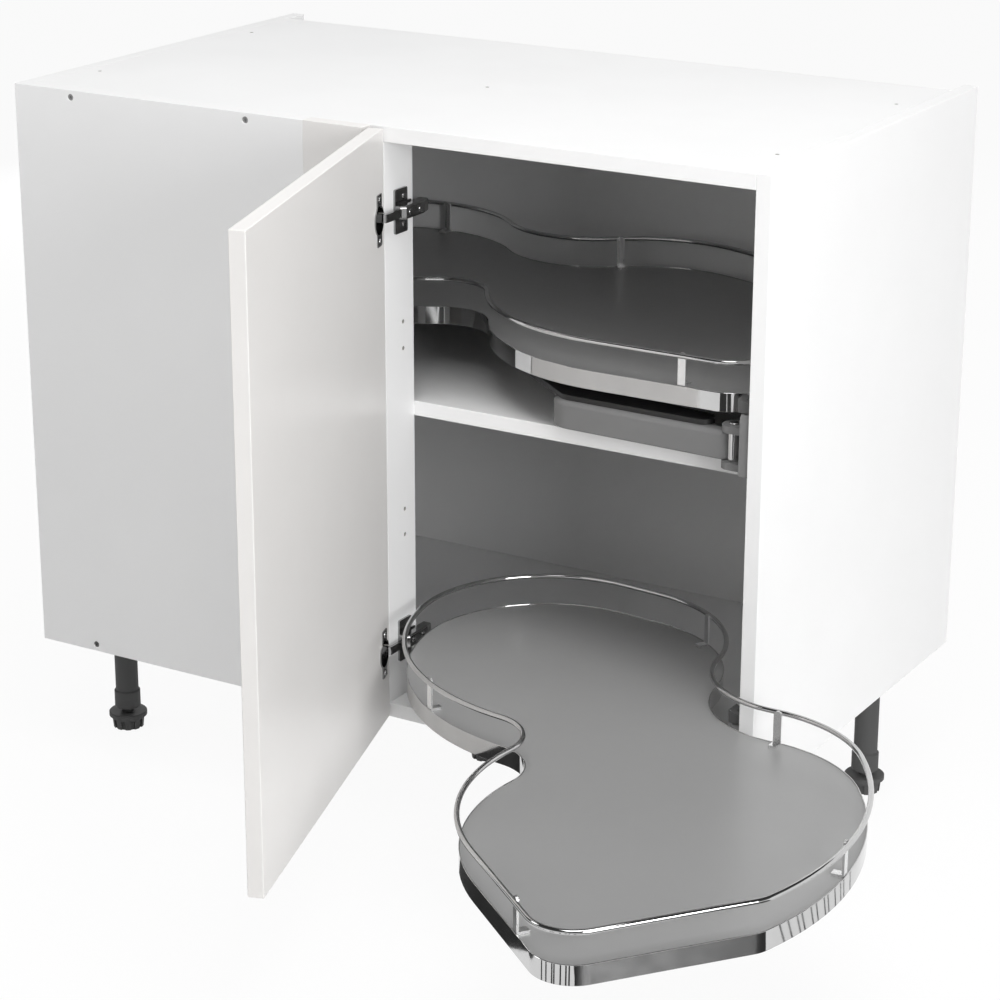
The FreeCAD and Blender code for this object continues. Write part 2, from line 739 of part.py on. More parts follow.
def tray_stop(z0):
    """Dished buffer on the side panel above the bracket, beside the tray's front corner."""
    low = z0 + BRACKET_TOP
    top = low + STOP_HEIGHT
    y0 = FRONT + STOP_FROM_FRONT
    left = INNER_RIGHT - STOP_T
    block = box(left, INNER_RIGHT, y0, y0 + STOP_DEPTH, low, top)
    axis = V(INNER_RIGHT, y0, top - STOP_DISH + STOP_DISH_R)
    dish = bar(STOP_DISH_R, axis, axis + V(0, STOP_DEPTH, 0))
    eye = rod(SCREW_SHANK_R, left + STOP_T / 2, y0 + STOP_DEPTH / 2, low, top)
    return block.cut([dish, eye])


def blend_centre(first, first_r, second, second_r):
    """Point at two distances from two centres, to the right of the way from the first to the second."""
    span = (second - first).Length
    lean = math.acos((first_r**2 + span**2 - second_r**2) / (2 * first_r * span))
    return round_point(first, first_r, bearing(first, second) - math.degrees(lean))


CORNER = V(TRAY_RIGHT - CORNER_R, CORNER_R - TRAY_FRONT, 0)
HIP = V(TRAY_RIGHT - HIP_R, TRAY_BACK - HIP_DROP, 0)
SHOULDER = V(SHOULDER_X, TRAY_BACK - SHOULDER_DROP, 0)
BACK = blend_centre(SHOULDER, BACK_R - SHOULDER_R, HIP, BACK_R - HIP_R)
LOBE = V(LOBE_R - TRAY_LEFT, TRAY_BACK - LOBE_BACK_R - LOBE_SHIFT_Y, 0)
LOBE_BACK = LOBE + V(LOBE_SHIFT_X, LOBE_SHIFT_Y, 0)
LOBE_FRONT = round_point(LOBE, LOBE_R - LOBE_FRONT_R, LOBE_END_ANGLE)
FRONT_BEND = V(FRONT_BEND_X, FRONT_BEND_R - TRAY_FRONT, 0)
BACK_WAIST = blend_centre(SHOULDER, SHOULDER_R + BACK_WAIST_R, LOBE_BACK, LOBE_BACK_R + BACK_WAIST_R)
FRONT_WAIST = blend_centre(
    LOBE_FRONT, LOBE_FRONT_R + FRONT_WAIST_R, FRONT_BEND, FRONT_BEND_R + FRONT_WAIST_R
)


def tray_arcs():
    """Arcs of the outline, anticlockwise, with their outward bearings; a waist's radius is negative."""
    lean = math.acos((LOBE_BACK_R - LOBE_R) / (LOBE - LOBE_BACK).Length)
    lobe_start = (bearing(LOBE_BACK, LOBE) - math.degrees(lean)) % 360
    hip_end = bearing(BACK, HIP)
    shoulder_start = bearing(BACK, SHOULDER)
    shoulder_end = bearing(SHOULDER, BACK_WAIST) % 360
    lobe_back_start = bearing(LOBE_BACK, BACK_WAIST) % 360
    lobe_front_end = bearing(LOBE_FRONT, FRONT_WAIST) % 360
    front_bend_start = bearing(FRONT_BEND, FRONT_WAIST) % 360
    return [
        (CORNER, CORNER_R, -90, 0),
        (HIP, HIP_R, 0, hip_end),
        (BACK, BACK_R, hip_end, shoulder_start),
        (SHOULDER, SHOULDER_R, shoulder_start, shoulder_end),
        (BACK_WAIST, -BACK_WAIST_R, shoulder_end, lobe_back_start),
        (LOBE_BACK, LOBE_BACK_R, lobe_back_start, lobe_start),
        (LOBE, LOBE_R, lobe_start, LOBE_END_ANGLE),
        (LOBE_FRONT, LOBE_FRONT_R, LOBE_END_ANGLE, lobe_front_end),
        (FRONT_WAIST, -FRONT_WAIST_R, lobe_front_end, front_bend_start),
        (FRONT_BEND, FRONT_BEND_R, front_bend_start, 270),
    ]


def tray_outline(inset):
    """Kidney outline drawn in by an inset: the arcs and the straight lengths between them."""
    arcs = [arc_edge(centre, radius - inset, start, end) for centre, radius, start, end in tray_arcs()]
    edges = []
    for arc, after in zip(arcs, arcs[1:] + arcs[:1]):
        edges.append(arc)
        end = arc.valueAt(arc.LastParameter)
        start = after.valueAt(after.FirstParameter)
        if end.distanceToPoint(start) > TOLERANCE:
            edges.append(line_edge(end, start))
    return Part.Wire(edges)


def tray_flange(z0):
    """Boss that turns on the stud, with a disc under the deck."""
    deck_floor = z0 + TRAY_LIFT - DECK_T
    low = arm_top(z0) + CARRIER_T + BOSS_GAP
    disc = rod(TRAY_FLANGE_R, 0, 0, deck_floor - TRAY_FLANGE_T, deck_floor)
    boss = rod(STUD_R + BOSS_WALL, 0, 0, low, deck_floor)
    bore = rod(STUD_R + RUNNING_FIT, 0, 0, low, deck_floor - TRAY_FLANGE_T)
    return disc.fuse(boss).cut(bore).removeSplitter()


def tray_deck(z0):
    top = z0 + TRAY_LIFT
    return prism(tray_outline(BAND_T), top - DECK_T, top)


def tray_band(z0):
    top = z0 + TRAY_LIFT + BAND_LIP
    outer = prism(tray_outline(0), top - BAND_HEIGHT, top)
    return outer.cut(prism(tray_outline(BAND_T), top - BAND_HEIGHT, top))


def tray_rail(z0):
    path = tray_outline(RAIL_INSET)
    path.translate(V(0, 0, z0 + TRAY_LIFT + RAIL_RISE))
    first = path.OrderedEdges[0]
    start = first.valueAt(first.FirstParameter)
    ring = Part.Wire(Part.makeCircle(RAIL_R, start, first.tangentAt(first.FirstParameter)))
    return path.makePipeShell([ring], True, False)


def stanchion_spots():
    """Outline points of the five stanchions with their outward bearings."""
    rounds = [
        (LOBE_BACK, LOBE_BACK_R, LOBE_BACK_STANCHION_ANGLE),
        (LOBE_FRONT, LOBE_FRONT_R, LOBE_FRONT_STANCHION_ANGLE),
        (SHOULDER, SHOULDER_R, SHOULDER_STANCHION_ANGLE),
        (BACK, BACK_R, BACK_STANCHION_ANGLE),
    ]
    spots = [(round_point(centre, radius, angle), angle) for centre, radius, angle in rounds]
    return spots + [(V(FRONT_STANCHION_X, -TRAY_FRONT, 0), -90)]


def stanchion():
    """Flat strip with a round top and an angled foot, outer face at x = 0 and inside at negative x."""
    crown = RAIL_RISE + STANCHION_CAP - STANCHION_WIDTH / 2
    half = STANCHION_WIDTH / 2
    strip = box(-STANCHION_T, 0, -half, half, 0, crown)
    cap = bar(half, V(-STANCHION_T, 0, crown), V(0, 0, crown))
    sole = box(-STANCHION_FOOT, 0, -half, half, 0, STANCHION_T)
    whole = strip.fuse([cap, sole]).removeSplitter()
    heel = [edge for edge in whole.Edges if edge.CenterOfMass.Length < TOLERANCE]
    return whole.makeFillet(STANCHION_HEEL_R, heel)


def rail_stanchions(z0):
    post = stanchion()
    posts = []
    for spot, outward in stanchion_spots():
        face = round_point(spot, STANCHION_INSET, outward + 180)
        posts.append(moved(turned(post, outward, 0, 0), face.x, face.y, z0 + TRAY_LIFT))
    return Part.makeCompound(posts)


def export(name, shape):
    shape.exportStep("parts/" + name + ".step")


def export_carcass():
    export("left_side_panel", left_side_panel())
    export("right_side_panel", right_side_panel())
    export("top_panel", flat_board(ROOF - BOARD))
    export("base_panel", flat_board(FLOOR_OF_BODY))
    export("back_panel", back_panel())
    export("blind_panel", blind_panel())
    export("filler_strip", filler_strip())
    export("upright", upright())
    export("shelf", shelf())
    export("shelf_pegs", shelf_pegs())
    export("blind_panel_screws", Part.makeCompound(blind_screw_list()))


def export_legs():
    export("leg_sockets", Part.makeCompound([leg_socket(x, y) for x, y in LEG_SPOTS.values()]))
    export("leg_tubes", Part.makeCompound([leg_tube(x, y) for x, y in LEG_SPOTS.values()]))
    for name, (x, y) in LEG_SPOTS.items():
        export("foot_" + name, foot(x, y))


def export_door():
    export("door_panel", opened(door_panel()))
    export("cup_screws", opened(cup_screws()))
    export("hinge_screws", hinge_screws())
    for name, z in zip(("lower", "upper"), hinge_levels()):
        export(name + "_hinge_cup", opened(hinge_cup(z)))
        export(name + "_hinge_pin", opened(hinge_pin(z)))
        export(name + "_hinge_arm", hinge_arm(z))
        export(name + "_hinge_plate", hinge_plate(z))


def export_level(name, z0, swing, turn):
    """One tray with its arm and bracket, the arm and tray turned to their rest pose."""
    fixed = {
        "bracket": bracket,
        "bracket_screws": bracket_screws,
        "pivot_pin": pivot_pin,
        "tray_stop": tray_stop,
    }
    for node, build in fixed.items():
        export(name + "_" + node, build(z0))
    swinging = {"arm_sleeve": arm_sleeve, "swing_arm": swing_arm, "carrier_plate": carrier_plate}
    for node, build in swinging.items():
        export(name + "_" + node, turned(build(z0), swing, PIVOT_X, PIVOT_Y))
    centre = Part.Vertex(PIVOT_X - TRAY_PIVOT_X, PIVOT_Y + TRAY_PIVOT_Y, 0)
    centre = turned(centre, swing, PIVOT_X, PIVOT_Y).Point
    carried = {
        "tray_flange": tray_flange,
        "tray_deck": tray_deck,
        "tray_band": tray_band,
        "tray_rail": tray_rail,
        "rail_stanchions": rail_stanchions,
    }
    for node, build in carried.items():
        export(name + "_" + node, moved(turned(build(z0), turn, 0, 0), centre.x, centre.y, 0))


os.makedirs("parts", exist_ok=True)
export_carcass()
export_legs()
export_door()
export_level("upper", SHELF_TOP, 0, 0)
export_level("lower", BASE_TOP, ARM_SWING_ANGLE, TRAY_TURN_ANGLE)
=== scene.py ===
"""Studio scene of a blind corner base cabinet with an open door and two swing-out trays."""

import json
import logging
import math
from dataclasses import dataclass
from enum import Enum
from typing import Iterable, List, Sequence, Tuple

import bmesh
import bpy
from mathutils import Matrix, Vector

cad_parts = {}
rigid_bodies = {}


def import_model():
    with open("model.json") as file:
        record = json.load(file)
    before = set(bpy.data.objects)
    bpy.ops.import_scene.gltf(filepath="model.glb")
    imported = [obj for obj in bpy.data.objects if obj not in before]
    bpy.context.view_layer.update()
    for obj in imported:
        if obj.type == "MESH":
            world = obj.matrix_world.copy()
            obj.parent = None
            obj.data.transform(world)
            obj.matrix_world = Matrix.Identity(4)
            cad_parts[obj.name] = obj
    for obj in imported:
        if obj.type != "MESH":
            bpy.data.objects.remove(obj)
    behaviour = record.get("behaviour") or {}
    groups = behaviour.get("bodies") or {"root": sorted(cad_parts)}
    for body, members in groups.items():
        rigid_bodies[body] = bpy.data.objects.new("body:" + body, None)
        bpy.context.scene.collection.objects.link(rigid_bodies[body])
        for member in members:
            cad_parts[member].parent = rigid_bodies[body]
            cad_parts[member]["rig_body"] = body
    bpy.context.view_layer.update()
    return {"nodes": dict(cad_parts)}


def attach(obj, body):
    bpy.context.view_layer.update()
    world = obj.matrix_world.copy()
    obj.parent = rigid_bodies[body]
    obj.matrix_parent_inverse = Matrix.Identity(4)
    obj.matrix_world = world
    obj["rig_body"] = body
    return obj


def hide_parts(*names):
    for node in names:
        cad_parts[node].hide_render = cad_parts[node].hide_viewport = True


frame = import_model()

LOG = logging.getLogger("corner_cabinet")

Colour = Tuple[float, float, float]
Pair = Tuple[float, float]
Point = Tuple[float, float, float]

WHITE = (1.0, 1.0, 1.0, 1.0)


class Run(Enum):
    """Which way the fine texture of a finish runs."""

    EVEN = (1.0, 1.0, 1.0)
    UPRIGHT = (1.0, 1.0, 0.06)


class Relief(Enum):
    """Kind of fine relief on a finish."""

    PEARL = "ShaderNodeTexNoise"
    PEBBLE = "ShaderNodeTexVoronoi"


class Way(Enum):
    """Way that the head of a screw faces."""

    FRONT = (0.0, -1.0, 0.0)
    BACK = (0.0, 1.0, 0.0)
    LEFT = (-1.0, 0.0, 0.0)
    RIGHT = (1.0, 0.0, 0.0)


def turned(angle: float, axis: str = "Z") -> Matrix:
    """Return a turn by an angle in degrees about an axis."""
    return Matrix.Rotation(math.radians(angle), 4, axis)


def edges_of(items: Iterable[object]) -> List[bmesh.types.BMEdge]:
    """Return the edges among the items that an operator gives back."""
    return [item for item in items if isinstance(item, bmesh.types.BMEdge)]


def verts_of(items: Iterable[object]) -> List[bmesh.types.BMVert]:
    """Return the vertices among the items that an operator gives back."""
    return [item for item in items if isinstance(item, bmesh.types.BMVert)]


@dataclass(frozen=True)
class Finish:
    """A surface: two close tones in a cloudy mix, fine specks, a roughness range and a relief."""

    name: str
    light: Colour
    dark: Colour
    cloud_scale: float = 6.0
    roughness: Pair = (0.4, 0.5)
    smudge_scale: float = 18.0
    relief: Relief = Relief.PEARL
    relief_strength: float = 0.05
    relief_scale: float = 900.0
    relief_depth: float = 0.0002
    speck_scale: float = 2500.0
    speck_share: float = 0.04
    metallic: float = 0.0
    run: Run = Run.EVEN
    noise_detail: float = 4.0
    cloud_span: Pair = (0.35, 0.65)
    smudge_span: Pair = (0.3, 0.7)

    def material(self) -> bpy.types.Material:
        """Build the node material.

        Returns:
            The finished material, made once and found again by name.
        """
        made = bpy.data.materials.get(self.name)
        if made is not None:
            return made
        made = bpy.data.materials.new(self.name)
        made.use_nodes = True
        tree = made.node_tree
        shader = tree.nodes["Principled BSDF"]
        shader.inputs["Metallic"].default_value = self.metallic
        place = tree.nodes.new("ShaderNodeTexCoord")
        stretch = tree.nodes.new("ShaderNodeMapping")
        stretch.inputs["Scale"].default_value = self.run.value
        tree.links.new(place.outputs["Object"], stretch.inputs["Vector"])
        self.tint(tree, stretch, shader)
        self.polish(tree, stretch, shader)
        self.emboss(tree, stretch, shader)
        return made

    def noise(
        self, tree: bpy.types.NodeTree, source: bpy.types.Node, scale: float
    ) -> bpy.types.Node:
        """Add a noise texture.

        Args:
            tree: Node tree of the material.
            source: Node whose vector drives the texture.
            scale: Cells of the texture per metre.

        Returns:
            The noise node.
        """
        node = tree.nodes.new("ShaderNodeTexNoise")
        node.inputs["Scale"].default_value = scale
        node.inputs["Detail"].default_value = self.noise_detail
        tree.links.new(source.outputs["Vector"], node.inputs["Vector"])
        return node

    def tint(
        self, tree: bpy.types.NodeTree, source: bpy.types.Node, shader: bpy.types.Node
    ) -> None:
        """Drive the base colour from a cloudy mix of the two tones with fine specks.

        Args:
            tree: Node tree of the material.
            source: Node whose vector drives the texture.
            shader: Surface shader that takes the colour.
        """
        cloud = self.noise(tree, source, self.cloud_scale)
        speck = self.noise(tree, source, self.speck_scale)
        blend = tree.nodes.new("ShaderNodeMix")
        blend.data_type = "FLOAT"
        blend.inputs["Factor"].default_value = self.speck_share
        ramp = tree.nodes.new("ShaderNodeValToRGB")
        stops = zip(ramp.color_ramp.elements, self.cloud_span, (self.dark, self.light))
        for stop, position, tone in stops:
            stop.position = position
            stop.color = (*tone, 1.0)
        tree.links.new(cloud.outputs["Fac"], blend.inputs["A"])
        tree.links.new(speck.outputs["Fac"], blend.inputs["B"])
        tree.links.new(blend.outputs["Result"], ramp.inputs["Fac"])
        tree.links.new(ramp.outputs["Color"], shader.inputs["Base Color"])

    def polish(
        self, tree: bpy.types.NodeTree, source: bpy.types.Node, shader: bpy.types.Node
    ) -> None:
        """Drive the roughness between its two limits.

        Args:
            tree: Node tree of the material.
            source: Node whose vector drives the texture.
            shader: Surface shader that takes the roughness.
        """
        smudge = self.noise(tree, source, self.smudge_scale)
        span = tree.nodes.new("ShaderNodeMapRange")
        span.inputs["From Min"].default_value = self.smudge_span[0]
        span.inputs["From Max"].default_value = self.smudge_span[1]
        span.inputs["To Min"].default_value = self.roughness[0]
        span.inputs["To Max"].default_value = self.roughness[1]
        tree.links.new(smudge.outputs["Fac"], span.inputs["Value"])
        tree.links.new(span.outputs["Result"], shader.inputs["Roughness"])

    def emboss(
        self, tree: bpy.types.NodeTree, source: bpy.types.Node, shader: bpy.types.Node
    ) -> None:
        """Add the fine relief as a bump.

        Args:
            tree: Node tree of the material.
            source: Node whose vector drives the texture.
            shader: Surface shader that takes the normal.
        """
        fine = tree.nodes.new(self.relief.value)
        fine.inputs["Scale"].default_value = self.relief_scale
        tree.links.new(source.outputs["Vector"], fine.inputs["Vector"])
        bump = tree.nodes.new("ShaderNodeBump")
        bump.inputs["Strength"].default_value = self.relief_strength
        bump.inputs["Distance"].default_value = self.relief_depth
        tree.links.new(fine.outputs[0], bump.inputs["Height"])
        tree.links.new(bump.outputs["Normal"], shader.inputs["Normal"])


def grey(level: float, warmth: float = 0.0) -> Colour:
    """Return a linear grey, a little warm where asked."""
    return (level * (1 + warmth), level, level * (1 - warmth))


WHITE_BOARD = Finish(
    "white_melamine",
    light=grey(0.89),
    dark=grey(0.875),
    roughness=(0.38, 0.46),
    relief_strength=0.08,
)
FRONT_BOARD = Finish(
    "grey_lacquer",
    light=grey(0.8, 0.02),
    dark=grey(0.785, 0.02),
    roughness=(0.3, 0.38),
    relief_scale=420.0,
)
# Raw chipboard core for the drilled holes, its grey kept dark as painted shade on the hole walls.
CORE_WITH_BORE_SHADE = Finish(
    "chipboard_core_bore_shade",
    light=grey(0.54, 0.04),
    dark=grey(0.42, 0.04),
    cloud_scale=700.0,
    roughness=(0.75, 0.9),
    smudge_scale=200.0,
    relief=Relief.PEBBLE,
    relief_strength=0.6,
)
LEG_PLASTIC = Finish(
    "leg_plastic",
    light=grey(0.135),
    dark=grey(0.12),
    cloud_scale=30.0,
    roughness=(0.34, 0.44),
    relief=Relief.PEBBLE,
    relief_strength=0.2,
)
STOP_PLASTIC = Finish(
    "stop_plastic",
    light=grey(0.085),
    dark=grey(0.07),
    cloud_scale=30.0,
    smudge_scale=40.0,
    relief=Relief.PEBBLE,
    relief_strength=0.25,
)
DECK = Finish(
    "deck_laminate",
    light=grey(0.29),
    dark=grey(0.275),
    cloud_scale=9.0,
    roughness=(0.29, 0.32),
    smudge_scale=90.0,
    relief=Relief.PEBBLE,
    relief_strength=0.1,
    speck_share=0.5,
)
GREY_METAL = Finish(
    "grey_powder_coat",
    light=grey(0.19),
    dark=grey(0.175),
    cloud_scale=20.0,
    roughness=(0.42, 0.52),
    smudge_scale=40.0,
    relief=Relief.PEBBLE,
    relief_strength=0.25,
    relief_scale=1100.0,
)
DARK_METAL = Finish(
    "black_coat",
    light=grey(0.016),
    dark=grey(0.012),
    cloud_scale=20.0,
    smudge_scale=40.0,
    relief=Relief.PEBBLE,
    relief_strength=0.2,
    relief_scale=1200.0,
)
NICKEL = Finish(
    "nickel_plate",
    light=grey(0.36),
    dark=grey(0.3),
    cloud_scale=40.0,
    roughness=(0.1, 0.18),
    smudge_scale=60.0,
    metallic=1.0,
)
CHROME = Finish(
    "chrome_plate",
    light=grey(0.61),
    dark=grey(0.57),
    cloud_scale=25.0,
    roughness=(0.03, 0.07),
    smudge_scale=50.0,
    relief_strength=0.01,
    metallic=1.0,
)
SATIN = Finish(
    "satin_plate",
    light=grey(0.9),
    dark=grey(0.86),
    cloud_scale=40.0,
    roughness=(0.24, 0.32),
    smudge_scale=90.0,
    metallic=1.0,
    run=Run.UPRIGHT,
)
ZINC = Finish(
    "zinc_plate",
    light=grey(0.6),
    dark=grey(0.5),
    cloud_scale=80.0,
    roughness=(0.25, 0.4),
    smudge_scale=120.0,
    metallic=1.0,
    run=Run.UPRIGHT,
)
DULL_ZINC = Finish(
    "dull_zinc",
    light=grey(0.4),
    dark=grey(0.34),
    cloud_scale=80.0,
    roughness=(0.48, 0.58),
    smudge_scale=120.0,
    metallic=1.0,
)


def dress(nodes: Sequence[str], finish: Finish) -> None:
    """Give CAD nodes a finish.

    Args:
        nodes: Names of the CAD nodes.
        finish: Finish to put on them.
    """
    for node in nodes:
        piece = frame["nodes"][node]
        if not piece.material_slots:
            piece.data.materials.append(None)
        for place in piece.material_slots:
            place.material = finish.material()
        LOG.info("%s: %s", node, finish.name)


def add_piece(
    shape: bmesh.types.BMesh, node: str, finish: Finish
) -> bpy.types.Object:
    """Make a piece that stands for a CAD node and rides on the node's body.

    Args:
        shape: The finished bmesh, freed here.
        node: Name of the CAD node.
        finish: Finish of the piece.

    Returns:
        The new object.
    """
    mesh = bpy.data.meshes.new(f"{node}_detail")
    shape.to_mesh(mesh)
    shape.free()
    mesh.materials.append(finish.material())
    piece = bpy.data.objects.new(f"{node}_detail", mesh)
    bpy.context.scene.collection.objects.link(piece)
    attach(piece, frame["nodes"][node]["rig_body"])
    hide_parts(node)
    LOG.info("%s: %d faces, %s", piece.name, len(mesh.polygons), finish.name)
    return piece


@dataclass(frozen=True)
class Board:
    """A board with a raw core in its holes, whose grey is darkened as painted shade on the hole
    walls, its outer edges eased where it has a radius.

    Lengths are in metres and angles in degrees.
    """

    slot: str
    finish: Finish
    radius: float = 0.0
    segments: int = 2
    turn: float = 0.0
    # Finish and material slot of the hole walls: raw core, darkened as painted shade.
    core_and_bore_shade: Finish = CORE_WITH_BORE_SHADE
    core_and_bore_shade_slot: int = 1
    skin: float = 0.0011
    weld: float = 1e-6
    sliver: float = 2e-6
    flat: float = 0.5
    sharp: float = 60.0
    digits: int = 5

    def build(self, nodes: Sequence[str]) -> None:
        """Model some boards in place of their nodes.

        Args:
            nodes: Names of the CAD nodes.
        """
        for node in nodes:
            shape = bmesh.new()
            shape.from_mesh(frame["nodes"][node].data)
            bmesh.ops.remove_doubles(shape, verts=shape.verts[:], dist=self.weld)
            self.cut_at_holes(shape)
            bmesh.ops.dissolve_limit(
                shape,
                angle_limit=math.radians(self.flat),
                verts=shape.verts[:],
                edges=shape.edges[:],
                delimit={"SEAM"},
            )
            if self.radius > 0.0:
                self.ease(shape)
            bmesh.ops.dissolve_degenerate(shape, dist=self.sliver, edges=shape.edges[:])
            for face in shape.faces:
                face.smooth = False
            # The hole walls take the core finish, whose darker grey is painted shade inside the
            # holes.
            for face in self.bored(shape):
                face.material_index = self.core_and_bore_shade_slot
            piece = add_piece(shape, node, self.finish)
            piece.data.materials.append(self.core_and_bore_shade.material())

    def ease(self, shape: bmesh.types.BMesh) -> None:
        """Round the sharp outer edges.

        Args:
            shape: The node's mesh with its flat faces whole.
        """
        bmesh.ops.bevel(
            shape,
            geom=self.edges(shape),
            offset=self.radius,
            offset_type="OFFSET",
            affect="EDGES",
            segments=self.segments,
            profile=0.5,
            material=-1,
            clamp_overlap=True,
        )

    def cut_at_holes(self, shape: bmesh.types.BMesh) -> None:
        """Cut the board across through every hole, so that no other seam reaches its corners.

        Args:
            shape: The node's mesh.
        """
        spreads = [[vert.co[axis] for vert in shape.verts] for axis in range(3)]
        spans = [max(spread) - min(spread) for spread in spreads]
        axis = spans.index(max(spans))
        along = Vector([float(place == axis) for place in range(3)])
        left = set(self.bored(shape))
        middles = set()
        while left:
            hole = [left.pop()]
            for face in hole:
                near = {other for edge in face.edges for other in edge.link_faces} & left
                left -= near
                hole.extend(near)
            places = [vert.co[axis] for face in hole for vert in face.verts]
            middles.add(round((min(places) + max(places)) / 2.0, self.digits))
        for middle in sorted(middles):
            cut = bmesh.ops.bisect_plane(
                shape,
                geom=shape.verts[:] + shape.edges[:] + shape.faces[:],
                plane_co=along * middle,
                plane_no=along,
            )["geom_cut"]
            for edge in edges_of(cut):
                edge.seam = True

    def bored(self, shape: bmesh.types.BMesh) -> List[bmesh.types.BMFace]:
        """Pick the walls of drilled holes, which lie within the outer box on every side.

        Args:
            shape: The node's mesh.

        Returns:
            The faces that show the core and its painted shade.
        """
        square = turned(-self.turn)
        places = [square @ vert.co for vert in shape.verts]
        lows = [min(place[axis] for place in places) + self.skin for axis in range(3)]
        highs = [max(place[axis] for place in places) - self.skin for axis in range(3)]
        picked = []
        for face in shape.faces:
            spot = square @ face.calc_center_median()
            if all(low < place < high for low, place, high in zip(lows, spot, highs)):
                picked.append(face)
        return picked

    def edges(self, shape: bmesh.types.BMesh) -> List[bmesh.types.BMEdge]:
        """Pick the sharp outer edges.

        Args:
            shape: The node's mesh with its flat faces whole.

        Returns:
            The edges to ease, without the rims of the holes.
        """
        sharp = math.radians(self.sharp)
        bored = set(self.bored(shape))
        picked = []
        for edge in shape.edges:
            outer = edge.is_manifold and edge.is_convex and not bored.intersection(edge.link_faces)
            if outer and edge.calc_face_angle() > sharp:
                picked.append(edge)
        return picked


@dataclass(frozen=True)
class Screw:
    """A screw with a cross recess, standing on z = 0 with its head up; lengths in metres."""

    crown_r: float
    crown_z: float
    rings: Tuple[Pair, ...]
    cells: int = 9
    arm_cells: int = 2
    recess: float = 0.32
    taper: float = 0.05

    def shape(self) -> bmesh.types.BMesh:
        """Model the screw.

        Returns:
            A closed bmesh, its axis along z.
        """
        shape = bmesh.new()
        bmesh.ops.create_grid(shape, x_segments=self.cells, y_segments=self.cells, size=1.0)
        cross = self.cross(shape)
        bmesh.ops.inset_region(shape, faces=cross, thickness=self.taper, depth=-self.recess)
        for vert in shape.verts:
            x, y = vert.co.x, vert.co.y
            vert.co.x = x * math.sqrt(1.0 - y * y / 2.0)
            vert.co.y = y * math.sqrt(1.0 - x * x / 2.0)
        bmesh.ops.scale(shape, vec=Vector((self.crown_r,) * 3), verts=shape.verts[:])
        bmesh.ops.translate(shape, vec=Vector((0.0, 0.0, self.crown_z)), verts=shape.verts[:])
        rim = [edge for edge in shape.edges if edge.is_boundary]
        for radius, height in self.rings:
            made = bmesh.ops.extrude_edge_only(shape, edges=rim)["geom"]
            for vert in verts_of(made):
                around = vert.co.xy.normalized() * radius
                vert.co = Vector((around.x, around.y, height))
            rim = [edge for edge in edges_of(made) if edge.is_boundary]
        bmesh.ops.holes_fill(shape, edges=rim)
        bmesh.ops.recalc_face_normals(shape, faces=shape.faces[:])
        return shape

    def cross(self, shape: bmesh.types.BMesh) -> List[bmesh.types.BMFace]:
        """Pick the faces of the cross recess on the flat crown.

        Args:
            shape: The crown as a square grid.

        Returns:
            The faces of a plus sign in the middle of the grid.
        """
        cell = 2.0 / self.cells
        reach = (self.arm_cells + 0.5) * cell
        picked = []
        for face in shape.faces:
            spot = face.calc_center_median()
            across = min(abs(spot.x), abs(spot.y))
            along = max(abs(spot.x), abs(spot.y))
            if across < cell / 2 and along < reach:
                picked.append(face)
        return picked


PLATE_SCREW = Screw(
    crown_r=0.0026,
    crown_z=0.00125,
    rings=((0.0031, 0.0009), (0.0035, 0.0), (0.002, 0.0), (0.002, -0.0145)),
)
CUP_SCREW = Screw(
    crown_r=0.0026,
    crown_z=0.00125,
    rings=((0.0031, 0.0009), (0.0035, 0.0), (0.002, 0.0), (0.002, -0.0102)),
)
ADJUSTER = Screw(crown_r=0.0031, crown_z=0.001, rings=((0.0035, 0.0006), (0.0035, -0.0025)))
BRACKET_SCREW = Screw(
    crown_r=0.0035,
    crown_z=0.0025,
    rings=((0.004, 0.0019), (0.004, 0.0), (0.002, 0.0), (0.002, -0.024)),
)
PANEL_SCREW = Screw(
    crown_r=0.0039,
    crown_z=0.0,
    rings=((0.004, -0.0002), (0.002, -0.0025), (0.002, -0.048)),
)


def stand(spot: Point, way: Way, spin: float) -> Matrix:
    """Return the placing of a screw.

    Args:
        spot: Middle of its seat.
        way: Way that its head faces.
        spin: Turn of its recess about its own axis, in degrees.

    Returns:
        Matrix from the screw's own axes to the frame.
    """
    facing = Vector(way.value).to_track_quat("Z", "Y").to_matrix().to_4x4()
    return Matrix.Translation(spot) @ facing @ turned(spin)


@dataclass
class ScrewSet:
    """All the screws of one CAD node, modelled with their recesses."""

    node: str
    slot: str
    finish: Finish
    screws: Sequence[Tuple[Screw, Matrix]]

    def build(self) -> None:
        """Model the screws as one piece in place of the node."""
        whole = bmesh.new()
        for screw, place in self.screws:
            single = screw.shape()
            bmesh.ops.transform(single, matrix=place, verts=single.verts[:])
            part = bpy.data.meshes.new("single_screw")
            single.to_mesh(part)
            single.free()
            whole.from_mesh(part)
            bpy.data.meshes.remove(part)
        add_piece(whole, self.node, self.finish)


@dataclass
class Carcass:
    """White boards of the body, the filler, the blind panel's screws and the shelf's pegs."""

    boards: Tuple[str, ...] = (
        "left_side_panel",
        "right_side_panel",
        "top_panel",
        "base_panel",
        "back_panel",
        "blind_panel",
        "upright",
        "shelf",
    )
    screw_columns: Pair = (-0.415, -0.16)
    screw_rows: Pair = (0.164, 0.866)
    screw_face: float = -0.273
    screw_spin: float = 31.0
    edge_r: float = 0.0007

    def build(self) -> None:
        """Ease and dress the boards and model the blind panel's screws."""
        Board("white_board", WHITE_BOARD, self.edge_r).build(self.boards)
        Board("front_board", FRONT_BOARD, self.edge_r).build(("filler_strip",))
        dress(("shelf_pegs",), ZINC)
        screws = []
        for x in self.screw_columns:
            for z in self.screw_rows:
                spin = self.screw_spin * len(screws)
                screws.append((PANEL_SCREW, stand((x, self.screw_face, z), Way.FRONT, spin)))
        ScrewSet("blind_panel_screws", "screw_steel", DULL_ZINC, screws).build()


